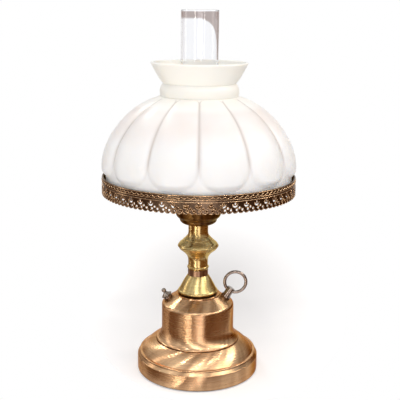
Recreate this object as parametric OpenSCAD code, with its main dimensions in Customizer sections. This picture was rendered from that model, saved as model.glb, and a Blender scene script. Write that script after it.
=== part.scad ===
// Table lamp in the manner of an oil lamp. A clear chimney and a ribbed milk-glass shade stand over a
// burner cup, the shade in a pierced gallery ring. A turned column carries them on a spun font, which has
// a turn switch and a finger ring on its shoulder, and a weighted foot. One threaded pipe clamps the stack.
// Millimetres, +Z up. The origin is the middle of the underside, and the front faces -Y.

/* [Foot] */
// Radius of the foot's skirt
foot_r = 84.4; // [78:0.2:92]
// Height of the skirt, up to its rounded top edge
skirt_h = 22; // [16:0.5:25]
// Gap between the skirt's lower edge and the table
skirt_lift = 0.8; // [0.4:0.1:1.4]
// Width of the lip that is turned in under the skirt
lip_w = 4.6; // [3.5:0.1:6]
// Width of each of the two steps from the skirt to the dome
foot_step = 3.2; // [2:0.1:4]
// Height of the sloped band above the skirt
foot_band_h = 3.4; // [2.6:0.1:4]
// Height of the bead between the band and the dome
foot_bead_h = 2.4; // [2:0.1:3]
// Height of the foot's flat top, which carries the font
foot_h = 45.2; // [41:0.2:52]
// Radius at which the dome meets the flat top
foot_top_r = 59.5; // [59.5:0.5:66]
// Radius of the arc that bulges the dome
dome_r = 56; // [32:1:60]
// Wall of the spun sheet
sheet = 1.2; // [0.9:0.1:1.5]
// Thickness of the felt under the weight
felt_t = 1.8; // [1.4:0.1:3]
// Gap between the felt and the foot's lip
felt_gap = 0.8; // [0.4:0.1:2]
// Radius of the cast weight
weight_r = 75; // [60:1:77]
// Height of the weight's straight rim
weight_rim_h = 16; // [12:1:19]
// Radius of the weight's boss under the foot's top
weight_boss_r = 24; // [18:1:34]
// Depth of the weight's recess for nut and washer
nut_recess_h = 8.5; // [8:0.5:12]
// Width of the weight's channel for the supply leads
lead_channel_w = 9; // [8:0.5:12]
// Height of the cord inlet above the table
inlet_z = 11.5; // [10:0.5:13]
// Radius of the cord inlet's bore
inlet_bore_r = 3.2; // [2.6:0.1:3.6]
// Wall of the inlet bushing's barrel
inlet_wall = 1.4; // [1:0.1:1.8]
// How far the bushing's flange stands out round its barrel
inlet_flange_w = 1.8; // [1.2:0.1:2.4]

/* [Font] */
// Radius of the font's rolled lower edge
font_edge_r = 58.2; // [56:0.2:59.2]
// Height of the rolled edge
font_edge_t = 2.4; // [2:0.1:3]
// Radius of the font's straight wall
font_r = 50.2; // [48:0.2:52]
// Radius of the cove between the rolled edge and the wall
cove_r = 20; // [17:0.5:26]
// Height of the shoulder's crease above the foot
font_wall_h = 51.6; // [44:0.2:60]
// Radius that rounds the crease
crease_r = 4.8; // [2:0.2:5]
// Pitch of the conical shoulder
shoulder_pitch = 32; // [28:1:36]
// Radius of the raised crown on top of the shoulder
crown_r = 31; // [29.6:0.2:32]
// Height of the crown
crown_h = 1.8; // [1.4:0.1:2.6]

/* [Switch] */
// Distance of the switch's axis from the lamp's axis, on the shoulder
switch_at = 41; // [39.5:0.5:42]
// Radius of the switch's threaded bushing
switch_thread_r = 5; // [4.6:0.1:5.4]
// Radius of the round nut that holds the switch
switch_nut_r = 6.3; // [6:0.1:7]
// Thickness of that nut
switch_nut_h = 2.4; // [1.6:0.1:3]
// Radius of the spindle
spindle_r = 1.6; // [1.4:0.1:2]
// Radius of the knob's widest rim
knob_r = 7.8; // [6:0.1:8.5]
// Length of the knob, from its hub to the neck of its ball
knob_h = 7.2; // [5.4:0.1:8]
// Radius of the ball on the knob
knob_ball_r = 3.2; // [2.6:0.1:3.8]
// Width of the switch's case, along the shoulder's slope
switch_case_w = 14; // [10:0.5:15]
// Length of the switch's case, across the slope
switch_case_l = 24; // [16:1:28]
// Depth of the switch's case
switch_case_h = 16; // [12:1:20]

/* [Finger ring] */
// Distance of the ring post's axis from the lamp's axis, on the shoulder
post_at = 38.5; // [38:0.5:40]
// Radius of the post
post_r = 5.6; // [5:0.1:6]
// Height of the collar under the post
post_collar_h = 3.4; // [2.4:0.2:4]
// How far the collar stands out round the post
post_collar_w = 1.1; // [0.8:0.1:1.6]
// Height of the cross hole above the shoulder
post_hole_z = 11.6; // [10.6:0.2:14]
// Metal left above the cross hole
post_tip = 1.3; // [1:0.1:2.4]
// Radius of the ring, at the middle of its wire
ring_r = 14.8; // [12.5:0.1:16]
// Radius of the ring's wire
ring_wire_r = 2.2; // [1.6:0.1:2.4]
// Radius of the stud that holds the post
post_stud_r = 3; // [2.6:0.1:3.4]

/* [Column] */
// Radius of the bore through the column's pieces
column_bore_r = 11; // [9:0.2:11.6]
// Radius of the column's shaft
shaft_r = 13.6; // [13:0.1:14.4]
// Radius of the bell's rim
bell_r = 27.6; // [26:0.2:29]
// Height of the bell
bell_h = 26.5; // [20:0.5:28]
// Radius of the plain spacer above the bell
spacer_r = 13.9; // [13.4:0.1:14.4]
// Height of the spacer
spacer_h = 8; // [7:0.5:16]
// Radius of the bead at the baluster's foot
bead_r = 15; // [14.6:0.1:16]
// Radius of the baluster's knop
knop_r = 28.2; // [26:0.2:32]
// Height of the knop's rim above the baluster's foot
knop_z = 34; // [32:0.5:40]
// Height of the baluster
baluster_h = 64.5; // [60:0.5:74]

/* [Burner] */
// Height of the burner cup
cup_h = 33.5; // [31:0.5:38]
// Radius of the cup's lower bulge
cup_bulge_r = 25.6; // [24.6:0.2:27]
// Radius of the cup's upper band where it starts
cup_band_r = 31; // [30:0.2:32.4]
// Radius of the cup's rim
cup_rim_r = 36.5; // [35.4:0.2:37.4]
// Thickness of the hub plate on the cup
hub_t = 1.6; // [1.2:0.1:2.4]
// Radius of the hub plate
hub_r = 38.6; // [38.2:0.2:42]
// How far the pierced basket under the chimney stands out round it
basket_ledge = 3.6; // [3.6:0.1:4.2]
// Height of the basket
basket_h = 12.6; // [11:0.2:15]
// Wall of the basket
basket_wall = 1.2; // [1:0.1:1.5]
// Number of air holes round the basket
basket_holes = 16; // [8:1:18]
// Radius of an air hole
basket_hole_r = 2.6; // [1.6:0.1:3]
// Number of prongs that hold the chimney
prongs = 4; // [3:1:6]
// Width of a prong
prong_w = 8; // [5:0.5:10]
// Height of a prong above the chimney's seat
prong_h = 15; // [10:0.5:20]
// Thickness of a prong
prong_t = 0.9; // [0.7:0.1:1.2]

/* [Shade holder] */
// Height of the shade's ledge above the hub plate
ledge_rise = 24.4; // [18:0.2:30]
// Width of the ledge, from the holder's wall to the ledge's inner edge
ledge_w = 16.3; // [14.8:0.1:20.8]
// Number of arms
arms = 3; // [3:1:5]
// Width of an arm
arm_w = 10; // [7:0.5:12]
// Thickness of an arm
arm_t = 2; // [1.5:0.1:2.4]
// Radius of a rivet
rivet_r = 1.6; // [1.2:0.1:1.8]
// Radius of a rivet's head
rivet_head_r = 2.3; // [2.1:0.1:2.6]
// Outer radius of the gallery
gallery_r = 130; // [116:0.2:146]
// Thickness of the gallery's sheet
gallery_t = 1.1; // [0.9:0.1:1.3]
// Height of the solid embossed band
band_h = 9.5; // [8:0.5:12]
// Radius of the band's rolled top edge
band_roll_r = 1; // [0.8:0.1:1.2]
// Height of the pierced lace below the band
lace_h = 14; // [13:0.2:16]
// Number of lace motifs round the gallery
motifs = 54; // [40:1:60]
// Radius of a motif's crescent
smile_r = 3.2; // [2.8:0.1:3.4]
// Depth of the crescent's middle below the band
smile_drop = 3.8; // [3.6:0.1:4.2]
// Width of the crescent at its lowest point
smile_t = 2; // [1.6:0.1:2.2]
// Radius of the drop over the crescent
drop_r = 0.85; // [0.6:0.05:1]
// Depth of the drop's lower end below the band
drop_depth = 3; // [2.8:0.1:3.1]
// Length of the drop between its round ends
drop_h = 1.6; // [1.2:0.1:1.8]
// Radius of the two holes over the notches
low_r = 1.4; // [1:0.1:1.5]
// Height of those holes above the lace's lower edge
low_z = 4.2; // [4.1:0.1:4.6]
// Distance of each of them from its notch, along the lace
low_off = 1.75; // [1.7:0.05:2]
// Radius of the hole between two motifs
side_r = 1.3; // [1:0.1:1.4]
// Height of that hole above the lace's lower edge
side_z = 6.6; // [6.4:0.1:7]
// Distance of that hole from the line between two motifs
side_off = 2; // [1.6:0.1:2.2]

/* [Shade] */
// Gap between the shade's plain fitter rim and the holder's wall
fitter_gap = 2.9; // [2.2:0.1:4.6]
// Height of the plain fitter below the lobes
fitter_h = 8.5; // [6:0.5:12]
// How far the lobes stand out over the fitter rim
lobe_out = 6.1; // [3.3:0.1:9.3]
// Height from the fitter's rim to the greatest radius
shade_wide_z = 21; // [19:0.5:28]
// Height from the fitter's rim to the groove under the neck
shade_groove_z = 114.5; // [104:0.5:124]
// Radius of that groove
shade_groove_r = 51.2; // [46:0.2:54]
// Radius of the neck under the collar
neck_r = 47.9; // [44:0.1:49]
// Height from the groove to the neck
neck_h = 17; // [14:0.5:20]
// Radius of the flared collar's rim
collar_r = 64.2; // [58:0.2:70]
// Height of the collar
collar_h = 26; // [20:0.5:32]
// Wall of the glass
shade_wall = 3; // [2.4:0.1:3.4]
// Number of lobes
lobes = 12; // [8:1:16]
// Depth of the grooves between the lobes
lobe_depth = 5.6; // [2:0.2:6.4]
// Height over which a lobe's foot is rounded
lobe_foot_h = 24; // [16:1:32]
// Width over which a lobe's head is rounded under the neck
lobe_head_w = 16; // [10:1:24]

/* [Chimney and bulb] */
// Outer radius of the chimney
chimney_r = 24.8; // [24:0.1:25.6]
// Wall of the chimney
chimney_wall = 2; // [1.4:0.1:2.4]
// Length of the chimney
chimney_l = 237; // [200:1:260]
// Outer radius of the lamp holder's shell
holder_r = 15.4; // [15.2:0.1:15.8]
// Height of the lamp holder's shell
holder_h = 34; // [30:0.5:38]
// Radius of the bulb's screw cap
bulb_cap_r = 13; // [12.8:0.1:13.1]
// Radius of the bulb's tubular glass
bulb_r = 16; // [14:0.2:19]
// Length of the bulb, contact to tip
bulb_l = 134; // [110:1:145]

/* [Pipe and fits] */
// Outer radius of the threaded pipe
pipe_r = 5; // [4.6:0.1:5.2]
// Wall of the pipe
pipe_wall = 1.5; // [1.2:0.1:1.8]
// Clearance of a hole round the pipe
pipe_gap = 0.25; // [0.1:0.05:0.4]
// Clearance in a thread
thread_gap = 0.05; // [0.02:0.01:0.1]
// Gap between pieces that lift, swing or turn apart
free_gap = 0.3; // [0.2:0.05:0.5]
// Running clearance of the switch's spindle
spindle_gap = 0.06; // [0.03:0.01:0.1]

/* [Hidden] */
$fn = 96;
step_n = 8;

// Heights of the stack, each worked out from the piece below
font_z = foot_h;
crease_z = font_z + font_wall_h;
font_top_z = crease_z + (font_r - crown_r) * tan(shoulder_pitch) + crown_h;
spacer_z = font_top_z + bell_h;
baluster_z = spacer_z + spacer_h;
cup_z = baluster_z + baluster_h;
hub_z = cup_z + cup_h;
hub_top_z = hub_z + hub_t;
seat_z = hub_top_z + basket_h;
ledge_z = hub_top_z + ledge_rise;
shade_z = ledge_z + free_gap;
chimney_z = seat_z + free_gap;

// Holes, nuts and washers on the pipe
pipe_hole_r = pipe_r + pipe_gap;
thread_r = pipe_r + thread_gap;
nut_wall = 3;
nut_flat = 2 * (pipe_r + nut_wall);
nut_h = 5;
washer_w = 10;
washer_r = pipe_r + washer_w;
washer_t = 1.5;
socket_z = hub_top_z + nut_h;
pipe_in_socket = 7;
pipe_top_z = socket_z + pipe_in_socket;
recess_gap = 1.5;
recess_r = washer_r + recess_gap;
recess_z = felt_t + nut_recess_h;
pipe_end = 0.5;
pipe_bottom_z = recess_z - washer_t - nut_h - pipe_end;

// Foot
felt_r = foot_r - lip_w - felt_gap;
dome_foot_r = foot_r - 2 * foot_step;
dome_foot_z = skirt_lift + skirt_h + foot_band_h + foot_bead_h;
inlet_barrel_r = inlet_bore_r + inlet_wall;
inlet_flange_r = inlet_barrel_r + inlet_flange_w;
inlet_flange_t = 1.8;
inlet_hole_gap = 0.1;

// Font
edge_mid_r = font_edge_r - font_edge_t / 2;
cove_rise = sqrt(pow(cove_r, 2) - pow(cove_r + font_r - edge_mid_r, 2));
cove_mid = [font_r + cove_r, font_z + font_edge_t + cove_rise];
crease_mid = [font_r - crease_r, crease_z - crease_r * tan((90 - shoulder_pitch) / 2)];

// Switch and finger ring, in heights above the shoulder
shoulder_sag = 0.5;
switch_flange_t = 2.4;
switch_case_z = -sheet - shoulder_sag - switch_flange_t;
spindle_in_case = 2;
spindle_cover = 1.5;
press_gap = 0.01;
knob_gap = 0.4;
knob_z = switch_nut_h + knob_gap;
knob_ball_z = knob_z + knob_h + 0.7 * knob_ball_r;
ring_sag = ring_r - sqrt(pow(ring_r, 2) - pow(post_r, 2));
post_hole_r = ring_wire_r + ring_sag / 2 + free_gap;
post_h = post_hole_z + post_hole_r + post_tip;
ring_mid_z = post_hole_z + ring_r - ring_sag / 2;
post_collar_r = post_r + post_collar_w;
post_nut_h = 4;

// Leads from the switch, through a window in the pipe, to the lamp holder
lead_r = 1;
lead_apart = 1.25;
window_drop = 31;
window_z = crease_z - window_drop;
window_h = 20;
window_w = 6.6;

// Shade holder and gallery
basket_r = chimney_r + basket_ledge;
arm_gap = 1.2;
arm_in_r = basket_r + arm_gap;
arm_lap = 10;
sheet_gap = 0.1;
band_in_r = gallery_r - gallery_t;
holder_wall_r = band_in_r - sheet_gap;
ledge_in_r = holder_wall_r - ledge_w;
arm_out_r = ledge_in_r + arm_lap;
rivet_edge = 0.3;
hub_rivet_r = arm_in_r + rivet_head_r + rivet_edge;
ledge_rivet_r = ledge_in_r + rivet_head_r + 2 * rivet_edge;
ledge_t = 1.2;
fitter_r = holder_wall_r - ledge_t - fitter_gap;
shade_r = fitter_r + lobe_out;
lace_top_z = ledge_z;
lace_z = lace_top_z - lace_h;
motif_turn = 360 / motifs;
motif_w = 2 * PI * gallery_r / motifs;

// Lamp holder and bulb
screw_gap = 0.2;
screw_shell_t = 0.4;
screw_shell_r = bulb_cap_r + screw_gap + screw_shell_t;
holder_wall = 0.6;
holder_rise = 12;
holder_z = socket_z + holder_rise;
cap_wall = 0.8;
cap_r = holder_r + sheet_gap + cap_wall;
core_rise = 8;
core_h = 11;
core_z = socket_z + core_rise;
core_top_z = core_z + core_h;
contact_h = 2;
bulb_z = core_top_z + contact_h + sheet_gap;

// Outline tools: points reversed, an arc, a cubic curve, and a path moved to its left by a wall
function backward(path) = [for (i = [len(path) - 1:-1:0]) path[i]];
function arc(mid, r, from, to, n = step_n) =
    [for (i = [0:n]) let (a = from + (to - from) * i / n) mid + r * [cos(a), sin(a)]];
function curve(a, b, c, d, n = step_n) =
    [for (i = [0:n]) let (t = i / n, s = 1 - t)
        s * s * s * a + 3 * s * s * t * b + 3 * s * t * t * c + t * t * t * d];
function tail(path) = [for (i = [1:len(path) - 1]) path[i]];
function heading(path, i) =
    let (v = path[min(i + 1, len(path) - 1)] - path[max(i - 1, 0)]) v / norm(v);
function beside(path, wall) =
    [for (i = [0:len(path) - 1]) let (h = heading(path, i)) path[i] + wall * [-h[1], h[0]]];
// Middle of the arc of radius r that bulges outwards from a up to b
function bulge_mid(a, b, r) =
    let (half = norm(b - a) / 2, h = (b - a) / norm(b - a))
        (a + b) / 2 + sqrt(r * r - half * half) * [-h[1], h[0]];
function bearing(v) = atan2(v[1], v[0]);
function bulge(a, b, r, n = step_n) =
    let (m = bulge_mid(a, b, r)) arc(m, r, bearing(a - m), bearing(b - m), n);

module turned(outline) {
    rotate_extrude() polygon(outline);
}

module spun(path, wall) {
    turned(concat(path, backward(beside(path, wall))));
}

// A tube round the pipe's axis
module ring_solid(out_r, in_r, h) {
    difference() {
        cylinder(r = out_r, h = h);
        translate([0, 0, -1]) cylinder(r = in_r, h = h + 2);
    }
}

module hex_nut(flat, bore_r, h) {
    difference() {
        cylinder(r = flat / 2 / cos(30), h = h, $fn = 6);
        translate([0, 0, -1]) cylinder(r = bore_r, h = h + 2);
    }
}

// Puts its children on the shoulder at radius at, on the +X (1) or -X (-1) side, with +Z square to it
module on_shoulder(side, at) {
    translate([side * at, 0, crease_z + (font_r - at) * tan(shoulder_pitch)])
        rotate([0, side * shoulder_pitch, 0]) children();
}

module copies(count, from = 0) {
    for (i = [0:count - 1]) rotate([0, 0, from + i * 360 / count]) children();
}

// Foot

module felt_pad() {
    color("darkgreen") cylinder(r = felt_r, h = felt_t);
}

module ballast_weight() {
    color("dimgray") difference() {
        turned([
            [pipe_hole_r, recess_z], [recess_r, recess_z], [recess_r, felt_t], [weight_r, felt_t],
            [weight_r, felt_t + weight_rim_h], [weight_boss_r, foot_h - sheet], [pipe_hole_r, foot_h - sheet]
        ]);
        translate([-lead_channel_w / 2, 0, felt_t - 1])
            cube([lead_channel_w, weight_r + 1, inlet_z + inlet_barrel_r - felt_t + 1]);
    }
}

// The foot's outline runs from the turned-in lip up the skirt, over a band and a bead, and up the dome
module base_foot() {
    lip_r = 2.4;
    edge_r = 1.2;
    groove = 0.9;
    skirt_top_z = skirt_lift + skirt_h;
    band_top_z = skirt_top_z + foot_band_h;
    step_r = foot_r - foot_step;
    outside = concat(
        [[foot_r - lip_w, skirt_lift]],
        arc([foot_r - lip_r, skirt_lift + lip_r], lip_r, -90, 0),
        arc([foot_r - edge_r, skirt_top_z - edge_r], edge_r, 0, 60),
        [[step_r, band_top_z]],
        arc([step_r - groove, band_top_z + foot_bead_h / 2], foot_bead_h / 2, -90, 90),
        bulge([dome_foot_r, dome_foot_z], [foot_top_r, foot_h], dome_r),
        [[pipe_hole_r, foot_h]]
    );
    inside = concat(
        [[foot_r - lip_w, skirt_lift + sheet]],
        arc([foot_r - lip_r, skirt_lift + lip_r], lip_r - sheet, -90, 0),
        [[foot_r - sheet, skirt_top_z - edge_r - sheet], [step_r - sheet, skirt_top_z - sheet],
            [step_r - groove - sheet, band_top_z - sheet]],
        beside(bulge([dome_foot_r, dome_foot_z], [foot_top_r, foot_h], dome_r), sheet),
        [[foot_top_r - 2 * sheet, foot_h - sheet], [pipe_hole_r, foot_h - sheet]]
    );
    color("peru") difference() {
        turned(concat(outside, backward(inside)));
        translate([0, foot_r, inlet_z]) rotate([90, 0, 0])
            cylinder(r = inlet_barrel_r + inlet_hole_gap, h = 4 * lip_w, center = true);
    }
}

// Bushing in the back of the skirt, where a supply cord enters
module cord_bushing() {
    barrel_l = 5;
    color("black") translate([0, foot_r, inlet_z]) rotate([-90, 0, 0]) difference() {
        union() {
            cylinder(r = inlet_flange_r, h = inlet_flange_t);
            translate([0, 0, -barrel_l]) cylinder(r = inlet_barrel_r, h = barrel_l);
        }
        translate([0, 0, -barrel_l - 1]) cylinder(r = inlet_bore_r, h = barrel_l + inlet_flange_t + 2);
    }
}

// Pipe and what clamps on it

module bottom_washer() {
    color("silver") translate([0, 0, recess_z - washer_t]) ring_solid(washer_r, pipe_hole_r, washer_t);
}

module bottom_nut() {
    color("silver") translate([0, 0, recess_z - washer_t - nut_h]) hex_nut(nut_flat, thread_r, nut_h);
}

module lamp_pipe() {
    color("silver") difference() {
        translate([0, 0, pipe_bottom_z]) ring_solid(pipe_r, pipe_r - pipe_wall, pipe_top_z - pipe_bottom_z);
        translate([-2 * pipe_r, -window_w / 2, window_z]) cube([2 * pipe_r, window_w, window_h]);
    }
}

module hub_lock_nut() {
    color("silver") translate([0, 0, hub_top_z]) hex_nut(nut_flat, thread_r, nut_h);
}

// Font

module font_body() {
    round_r = 0.7;
    shoulder_z = crease_z + (font_r - crown_r) * tan(shoulder_pitch);
    cove_low = bearing([edge_mid_r, font_z + font_edge_t] - cove_mid);
    cove_in_r = cove_r + sheet;
    hem_drop = cove_mid[1] - font_z - font_edge_t;
    hem_r = cove_mid[0] - sqrt(cove_in_r * cove_in_r - hem_drop * hem_drop);
    hem_low = bearing([hem_r - cove_mid[0], -hem_drop]);
    crown_in_r = crown_r - sheet;
    crown_in_z = crease_z + (font_r - crown_in_r) * tan(shoulder_pitch) - sheet / cos(shoulder_pitch);
    outside = concat(
        [[hem_r, font_z]],
        arc([edge_mid_r, font_z + font_edge_t / 2], font_edge_t / 2, -90, 90),
        tail(arc(cove_mid, cove_r, 360 + cove_low, 180)),
        arc(crease_mid, crease_r, 0, 90 - shoulder_pitch, 4),
        [[crown_r, shoulder_z]],
        arc([crown_r - round_r, font_top_z - round_r], round_r, 0, 90, 3),
        [[pipe_hole_r, font_top_z]]
    );
    inside = concat(
        arc(cove_mid, cove_in_r, 360 + hem_low, 180),
        arc(crease_mid, crease_r - sheet, 0, 90 - shoulder_pitch, 4),
        [[crown_in_r, crown_in_z], [crown_in_r, font_top_z - sheet], [pipe_hole_r, font_top_z - sheet]]
    );
    color("peru") difference() {
        turned(concat(outside, backward(inside)));
        on_shoulder(-1, switch_at) cylinder(r = switch_thread_r + pipe_gap, h = 8 * sheet, center = true);
        on_shoulder(1, post_at) cylinder(r = post_stud_r + pipe_gap, h = 8 * sheet, center = true);
    }
}

// Turn switch

module switch_case_body() {
    hole_h = spindle_in_case + free_gap;
    color("saddlebrown") on_shoulder(-1, switch_at)
        translate([0, 0, switch_case_z - switch_case_h]) difference() {
            translate([-switch_case_w / 2, -switch_case_l / 2, 0])
                cube([switch_case_w, switch_case_l, switch_case_h]);
            translate([0, 0, switch_case_h - hole_h]) cylinder(r = spindle_r + free_gap, h = hole_h + 1);
        }
}

module switch_bushing() {
    flange_w = 1.8;
    color("goldenrod") on_shoulder(-1, switch_at) difference() {
        translate([0, 0, switch_case_z]) union() {
            cylinder(r = switch_thread_r + flange_w, h = switch_flange_t);
            cylinder(r = switch_thread_r, h = switch_nut_h - switch_case_z);
        }
        translate([0, 0, switch_case_z - 1])
            cylinder(r = spindle_r + spindle_gap, h = switch_nut_h - switch_case_z + 2);
    }
}

module switch_nut() {
    color("gray") on_shoulder(-1, switch_at)
        ring_solid(switch_nut_r, switch_thread_r + thread_gap, switch_nut_h);
}

module switch_spindle() {
    low_z = switch_case_z - spindle_in_case;
    tip_z = knob_z + knob_h - spindle_cover;
    color("silver") on_shoulder(-1, switch_at) translate([0, 0, low_z])
        cylinder(r = spindle_r, h = tip_z - low_z);
}

// The knob is a waisted hub, a wide rim, a tapering body and a ball
module switch_knob() {
    waist_r = 0.6 * knob_r;
    throat_r = 0.55 * knob_ball_r;
    throat_h = 0.8;
    rim_z = 1.3;
    rim_h = 1.6;
    color("gray") on_shoulder(-1, switch_at) translate([0, 0, knob_z]) difference() {
        union() {
            turned(concat(
                [[0, 0], [waist_r, 0], [waist_r, rim_z - 0.3], [knob_r - 0.6, rim_z]],
                arc([knob_r - rim_h / 2, rim_z + rim_h / 2], rim_h / 2, -60, 90, 6),
                curve([knob_r - 1.4, rim_z + rim_h], [knob_r - 2.4, rim_z + rim_h + 1],
                    [throat_r + 1.2, knob_h - 1.6], [throat_r, knob_h]),
                [[throat_r, knob_h + throat_h], [0, knob_h + throat_h]]
            ));
            translate([0, 0, knob_ball_z - knob_z]) sphere(r = knob_ball_r);
        }
        translate([0, 0, -1]) cylinder(r = spindle_r + press_gap, h = knob_h - spindle_cover + press_gap + 1);
    }
}

// A round wire swept through the points of a path, which lies level enough to take its sides from +Y
module wire(path, r, sides = 8) {
    n = len(path);
    rings = [for (i = [0:n - 1])
        let (h = path[min(i + 1, n - 1)] - path[max(i - 1, 0)], along = h / norm(h),
            across = cross(along, [0, 1, 0]) / norm(cross(along, [0, 1, 0])), other = cross(along, across))
            [for (k = [0:sides - 1]) let (a = 360 * k / sides)
                path[i] + r * (cos(a) * across + sin(a) * other)]];
    points = [for (ring = rings) each ring];
    walls = [for (i = [0:n - 2], k = [0:sides - 1])
        let (a = i * sides + k, b = i * sides + (k + 1) % sides)
            each [[a, b, a + sides], [b, b + sides, a + sides]]];
    low = [for (k = [1:sides - 2]) [0, k + 1, k]];
    high = [for (k = [1:sides - 2]) (n - 1) * sides * [1, 1, 1] + [0, k, k + 1]];
    polyhedron(points, concat(walls, low, high));
}

// Two leads drop out of the switch, enter the pipe by its window and climb to the lamp holder's core
module switch_leads() {
    case_end = switch_case_h - switch_case_z;
    out_r = switch_at - case_end * sin(shoulder_pitch);
    out_z = crease_z + (font_r - switch_at) * tan(shoulder_pitch) - case_end * cos(shoulder_pitch);
    mid_z = window_z + window_h / 2;
    dip = [sin(shoulder_pitch), 0, -cos(shoulder_pitch)];
    start = [-out_r, 0, out_z];
    color("black") for (s = [-1, 1]) {
        side = [0, s * lead_apart, 0];
        wire([
            start + 3 * side, start + 5 * dip + 3 * side, [-15, 0, mid_z - 7] + 2 * side,
            [-8, 0, mid_z - 6] + side, [-3.4, 0, mid_z - 3] + side, [-1, 0, mid_z + 3] + side,
            [0, 0, mid_z + 9] + side, [0, 0, core_z - press_gap] + side
        ], lead_r);
    }
}

// Finger ring

module ring_collar() {
    color("gray") on_shoulder(1, post_at) ring_solid(post_collar_r, post_stud_r + thread_gap, post_collar_h);
}

module ring_post() {
    round_r = 1.2;
    stud_l = sheet + shoulder_sag + post_nut_h + 2;
    color("gray") on_shoulder(1, post_at) difference() {
        turned(concat(
            [[0, -stud_l], [post_stud_r, -stud_l], [post_stud_r, post_collar_h], [post_r, post_collar_h]],
            arc([post_r - round_r, post_h - round_r], round_r, 0, 90, 5),
            [[0, post_h]]
        ));
        translate([0, 0, post_hole_z]) rotate([0, 90, 0])
            cylinder(r = post_hole_r, h = 3 * post_r, center = true);
    }
}

module ring_post_nut() {
    wall = 2;
    color("silver") on_shoulder(1, post_at) translate([0, 0, -sheet - shoulder_sag - post_nut_h])
        hex_nut(2 * (post_stud_r + wall), post_stud_r + thread_gap, post_nut_h);
}

module finger_ring() {
    color("gray") on_shoulder(1, post_at) translate([0, 0, ring_mid_z]) rotate([90, 0, 0])
        rotate_extrude() translate([ring_r, 0]) circle(r = ring_wire_r, $fn = 32);
}

// Column

module column_bell() {
    round_r = 1.7;
    foot_w = 2.4;
    rim_z = font_top_z + 3.8;
    top_z = font_top_z + bell_h;
    color("gold") turned(concat(
        [[column_bore_r, font_top_z], [bell_r - foot_w, font_top_z]],
        arc([bell_r - round_r, rim_z], round_r, -70, 60, 7),
        curve([bell_r - 1.4, rim_z + 2], [bell_r - 5, rim_z + 8], [shaft_r + 6, top_z - 7],
            [shaft_r + 0.7, top_z]),
        [[column_bore_r, top_z]]
    ));
}

module column_spacer() {
    color("sienna") translate([0, 0, spacer_z]) ring_solid(spacer_r, column_bore_r, spacer_h);
}

// The baluster rises from a bead, flares to the knop's rim, and draws in over two fine lines to its shaft
module column_baluster() {
    bead_mid = [bead_r - 2, 3.4];
    rim_round = 1.1;
    flare = knop_r - shaft_r;
    color("darkgoldenrod") translate([0, 0, baluster_z]) turned(concat(
        [[column_bore_r, 0], [shaft_r - 0.2, 0]],
        arc(bead_mid, 2, -70, 70, 7),
        [[shaft_r, 5.8]],
        curve([shaft_r, knop_z - 21], [shaft_r, knop_z - 15], [shaft_r + 0.2 * flare, knop_z - 11],
            [shaft_r + 0.8 * flare, knop_z - 4.5]),
        arc([knop_r - rim_round, knop_z], rim_round, -45, 60, 5),
        curve([knop_r - 0.9, knop_z + 1.6], [knop_r - 1.4, knop_z + 4],
            [shaft_r + 0.66 * flare, knop_z + 5.6], [shaft_r + 0.46 * flare, knop_z + 9]),
        [[shaft_r + 0.4 * flare, knop_z + 9.2]],
        curve([shaft_r + 0.38 * flare, knop_z + 10], [shaft_r + 0.28 * flare, knop_z + 11.4],
            [shaft_r + 0.2 * flare, knop_z + 12.6], [shaft_r + 0.16 * flare, knop_z + 13.6], 4),
        [[shaft_r + 0.1 * flare, knop_z + 13.8]],
        curve([shaft_r + 0.09 * flare, knop_z + 14.4], [shaft_r + 0.03 * flare, knop_z + 16.4],
            [shaft_r, knop_z + 18], [shaft_r, knop_z + 20], 4),
        [[shaft_r, baluster_h], [column_bore_r, baluster_h]]
    ));
}

// Burner

module burner_cup() {
    rim_h = 1.5;
    bottom = concat(
        [[pipe_hole_r, 0], [shaft_r, 0]],
        curve([shaft_r + 1, 0.2], [cup_bulge_r - 4, 1.2], [cup_bulge_r - 0.4, 3], [cup_bulge_r, 7]),
        curve([cup_bulge_r + 1, 8.8], [cup_bulge_r + 3, 10.4], [cup_band_r - 0.6, 12], [cup_band_r, 15]),
        [[cup_band_r + 1.3, 19.4], [cup_band_r + 2.2, 20], [cup_band_r + 3.2, 26.6], [cup_band_r + 4, 27.2],
            [cup_rim_r, cup_h - rim_h], [cup_rim_r, cup_h]]
    );
    color("darkgoldenrod") translate([0, 0, cup_z]) spun(bottom, sheet);
}

module shade_hub() {
    color("goldenrod") difference() {
        translate([0, 0, hub_z]) ring_solid(hub_r, pipe_hole_r, hub_t);
        copies(arms, 90) translate([hub_rivet_r, 0, hub_z - 1])
            cylinder(r = rivet_r + thread_gap, h = hub_t + 2);
    }
}

module chimney_basket() {
    mouth_r = chimney_r - 3.8;
    color("goldenrod") difference() {
        translate([0, 0, hub_top_z]) turned([
            [basket_r - basket_wall, 0], [basket_r, 0], [basket_r, basket_h], [mouth_r, basket_h],
            [mouth_r, basket_h - basket_wall], [basket_r - basket_wall, basket_h - basket_wall]
        ]);
        copies(basket_holes) translate([basket_r, 0, hub_top_z + basket_h / 2]) rotate([0, 90, 0])
            cylinder(r = basket_hole_r, h = 4 * basket_wall, center = true);
    }
}

// Each prong is a slice of a thin ring, which springs against the foot of the chimney
module chimney_prongs() {
    foot_w = 2;
    in_r = chimney_r + free_gap;
    color("goldenrod") copies(prongs, 45) intersection() {
        translate([0, 0, seat_z]) turned([
            [in_r, 0], [in_r + prong_t + foot_w, 0], [in_r + prong_t + foot_w, prong_t],
            [in_r + prong_t, prong_t + 1],
            [in_r + prong_t, prong_h - 3], [in_r + prong_t + 1.6, prong_h], [in_r + 1.6, prong_h],
            [in_r, prong_h - 3]
        ]);
        translate([0, -prong_w / 2, seat_z - 1]) cube([2 * in_r, prong_w, prong_h + 2]);
    }
}

// Shade holder

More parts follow.
